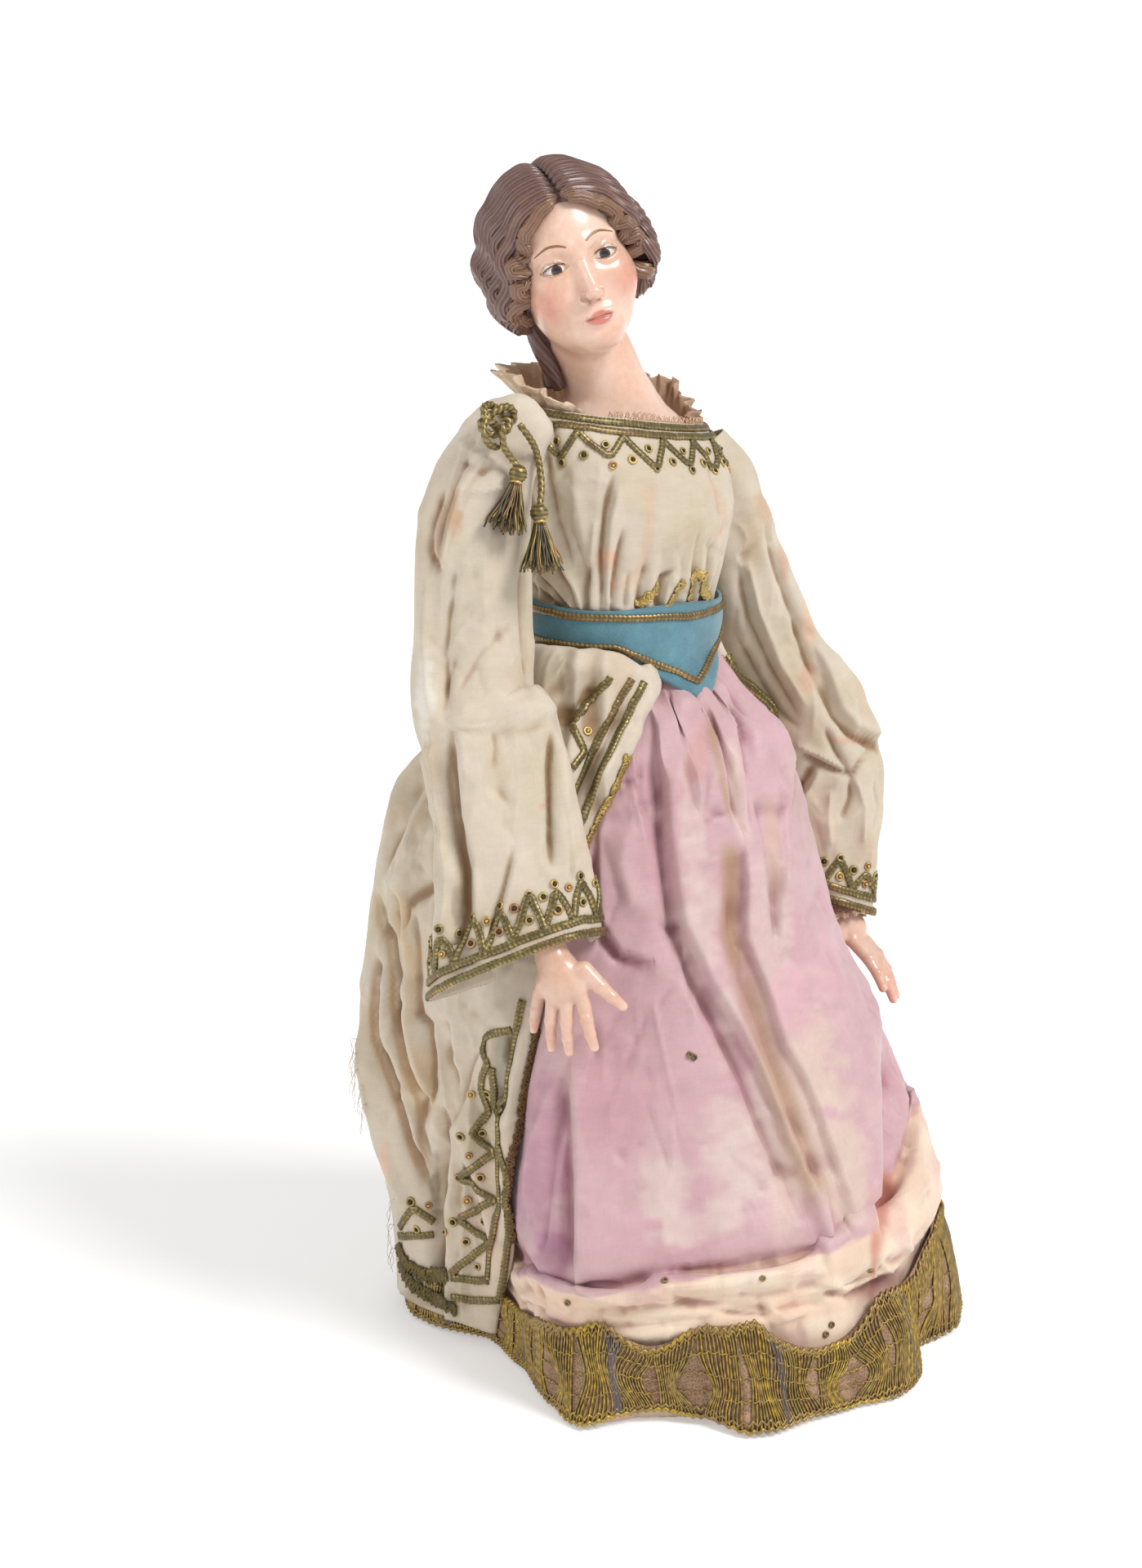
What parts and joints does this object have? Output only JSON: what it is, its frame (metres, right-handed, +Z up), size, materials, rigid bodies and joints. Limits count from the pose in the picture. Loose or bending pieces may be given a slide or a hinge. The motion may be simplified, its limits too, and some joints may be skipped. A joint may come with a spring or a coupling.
{
  "type": "crib figure",
  "caption": "Kneeling woman crib figure with painted head and hands, in a cream silk dress over a pink skirt with a gold lace hem and a blue pointed belt.",
  "frame": {"origin": "middle of the skirt's hem, on the floor", "axes": "+Z up, she faces -Y, +X towards her left"},
  "size_m": [0.2276, 0.2282, 0.4493],
  "materials": {
    "painted_flesh": "painted and varnished",
    "pink_silk": "silk taffeta",
    "cream_silk": "plain silk",
    "blue_cloth": "felted",
    "metal_thread": "tarnished metal thread",
    "net": "net and lace",
    "wood": "bare wood"
  },
  "bodies": {
    "root": {"head": "painted_flesh", "right_hand": "painted_flesh", "left_hand": "painted_flesh", "base_board": "wood", "underskirt": "pink_silk", "overskirt": "cream_silk", "bodice": "cream_silk", "right_sleeve": "cream_silk", "left_sleeve": "cream_silk", "belt": "blue_cloth", "hem_lace": "metal_thread", "neck_frill": "net", "wrist_lace": "net", "shoulder_knot": "metal_thread", "tassel_upper": "metal_thread", "tassel_lower": "metal_thread"}
  },
  "joints": []
}
